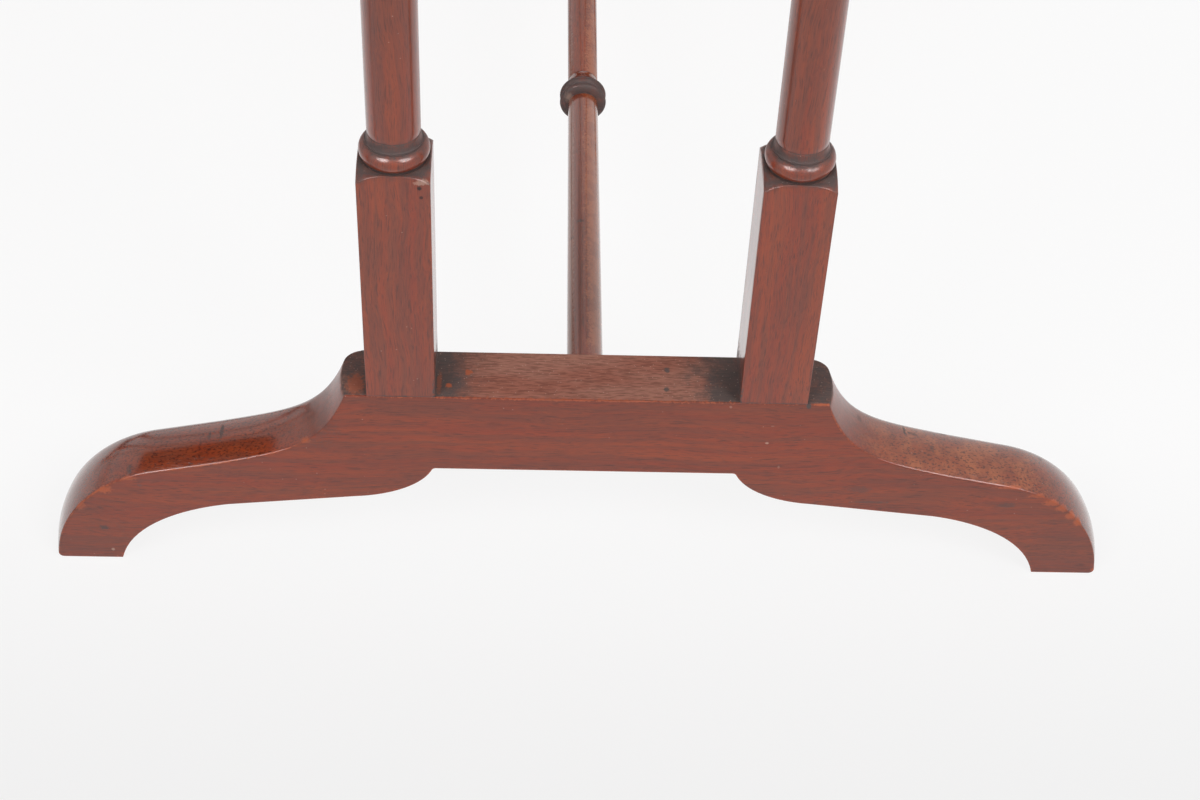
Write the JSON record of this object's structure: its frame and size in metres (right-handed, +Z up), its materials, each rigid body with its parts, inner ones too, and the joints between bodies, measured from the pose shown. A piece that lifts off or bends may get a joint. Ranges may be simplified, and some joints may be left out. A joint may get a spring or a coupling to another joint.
{
  "type": "nest of tables",
  "caption": "Nest of small polished wooden side tables on trestle ends with turned columns and shaped feet; the smaller tables draw out to the front.",
  "frame": {"origin": "on the floor, at the centre of the box round the whole set as it stands at rest", "axes": "+X along the tops to the right-hand trestles, -Y to the front, the way the smaller tables draw out, +Z up"},
  "size_m": [0.4836, 0.8506, 0.702],
  "materials": {
    "polished_wood": "red-brown mahogany, French polished, worn on the arrises",
    "plain_wood": "mahogany, thinly polished, darker and dull on the hidden faces",
    "screw_steel": "dull steel, slotted countersunk head"
  },
  "bodies": {
    "large_table": {"large_top": "polished_wood", "large_left_bearer": "plain_wood", "large_right_bearer": "plain_wood", "large_left_front_column": "polished_wood", "large_left_rear_column": "polished_wood", "large_right_front_column": "polished_wood", "large_right_rear_column": "polished_wood", "large_left_foot": "polished_wood", "large_right_foot": "polished_wood", "large_stretcher": "polished_wood", "large_left_front_screw": "screw_steel", "large_left_rear_screw": "screw_steel", "large_right_front_screw": "screw_steel", "large_right_rear_screw": "screw_steel"},
    "middle_table": {"middle_top": "polished_wood", "middle_left_bearer": "plain_wood", "middle_right_bearer": "plain_wood", "middle_left_front_column": "polished_wood", "middle_left_rear_column": "polished_wood", "middle_right_front_column": "polished_wood", "middle_right_rear_column": "polished_wood", "middle_left_foot": "polished_wood", "middle_right_foot": "polished_wood", "middle_stretcher": "polished_wood", "middle_left_front_screw": "screw_steel", "middle_left_rear_screw": "screw_steel", "middle_right_front_screw": "screw_steel", "middle_right_rear_screw": "screw_steel"},
    "small_table": {"small_top": "polished_wood", "small_left_bearer": "plain_wood", "small_right_bearer": "plain_wood", "small_left_front_column": "polished_wood", "small_left_rear_column": "polished_wood", "small_right_front_column": "polished_wood", "small_right_rear_column": "polished_wood", "small_left_foot": "polished_wood", "small_right_foot": "polished_wood", "small_stretcher": "polished_wood", "small_left_front_screw": "screw_steel", "small_left_rear_screw": "screw_steel", "small_right_front_screw": "screw_steel", "small_right_rear_screw": "screw_steel"}
  },
  "joints": [
    {"name": "middle_slide", "type": "slide", "parent": "large_table", "child": "middle_table", "axis": [0, -1, 0], "range_m": [-0.15, 0.23]},
    {"name": "small_slide", "type": "slide", "parent": "middle_table", "child": "small_table", "axis": [0, -1, 0], "range_m": [-0.34, 0]}
  ]
}
